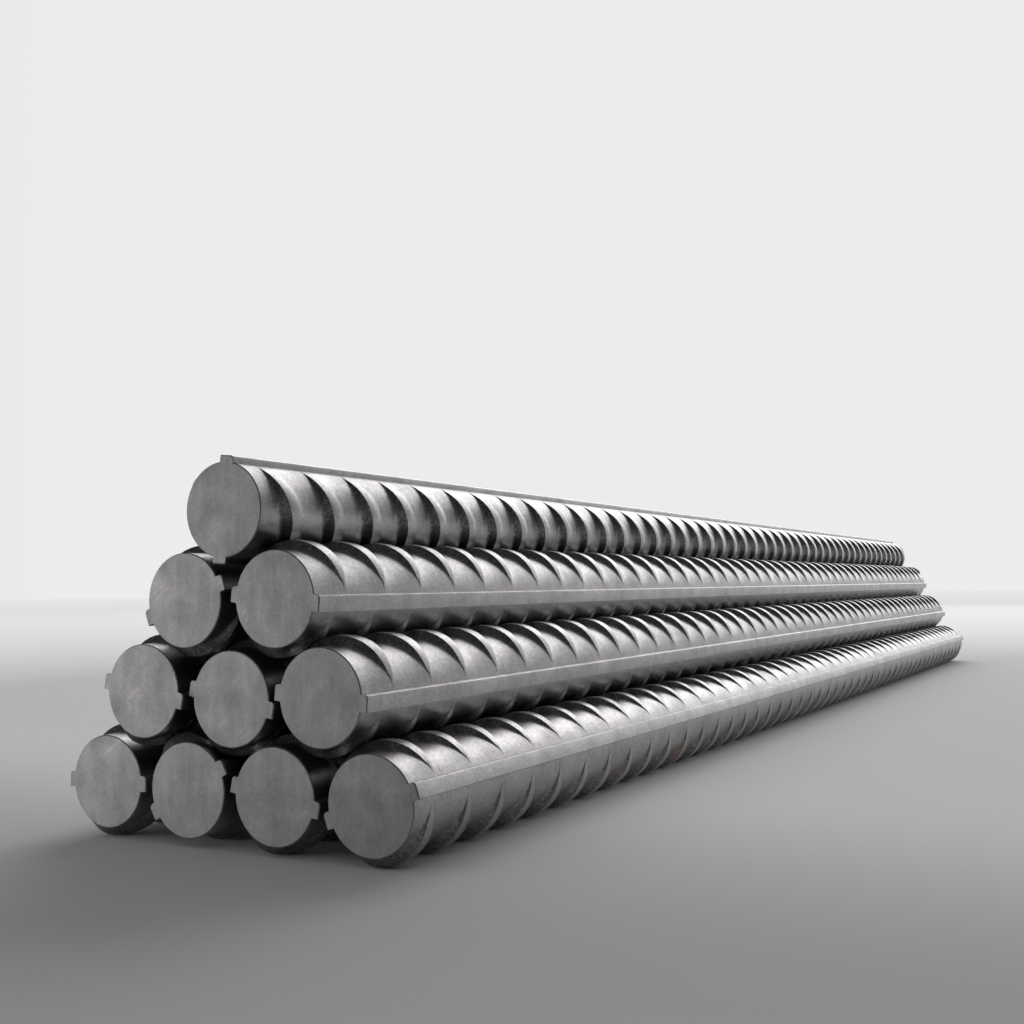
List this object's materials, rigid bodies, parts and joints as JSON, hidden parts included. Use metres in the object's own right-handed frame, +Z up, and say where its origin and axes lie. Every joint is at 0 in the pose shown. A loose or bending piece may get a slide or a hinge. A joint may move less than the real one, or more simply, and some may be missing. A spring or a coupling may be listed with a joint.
{
  "type": "rebar bundle",
  "caption": "Bundle of thick ribbed steel reinforcing bars, cut short and stacked as a triangular pile with their round cut ends level.",
  "frame": {"origin": "on the floor under the middle of the bundle", "axes": "+X along the bars, away from the cut ends that face the viewer; +Y across the rows, to that viewer's left; +Z up"},
  "size_m": [1.203, 0.161, 0.1423],
  "materials": {
    "bar_steel": "satin hot-rolled steel with saw-cut ends"
  },
  "bodies": {
    "root": {"bottom_bar_1": "bar_steel", "bottom_bar_2": "bar_steel", "bottom_bar_3": "bar_steel", "bottom_bar_4": "bar_steel", "lower_bar_1": "bar_steel", "lower_bar_2": "bar_steel", "lower_bar_3": "bar_steel", "upper_bar_1": "bar_steel", "upper_bar_2": "bar_steel", "top_bar": "bar_steel"}
  },
  "joints": []
}
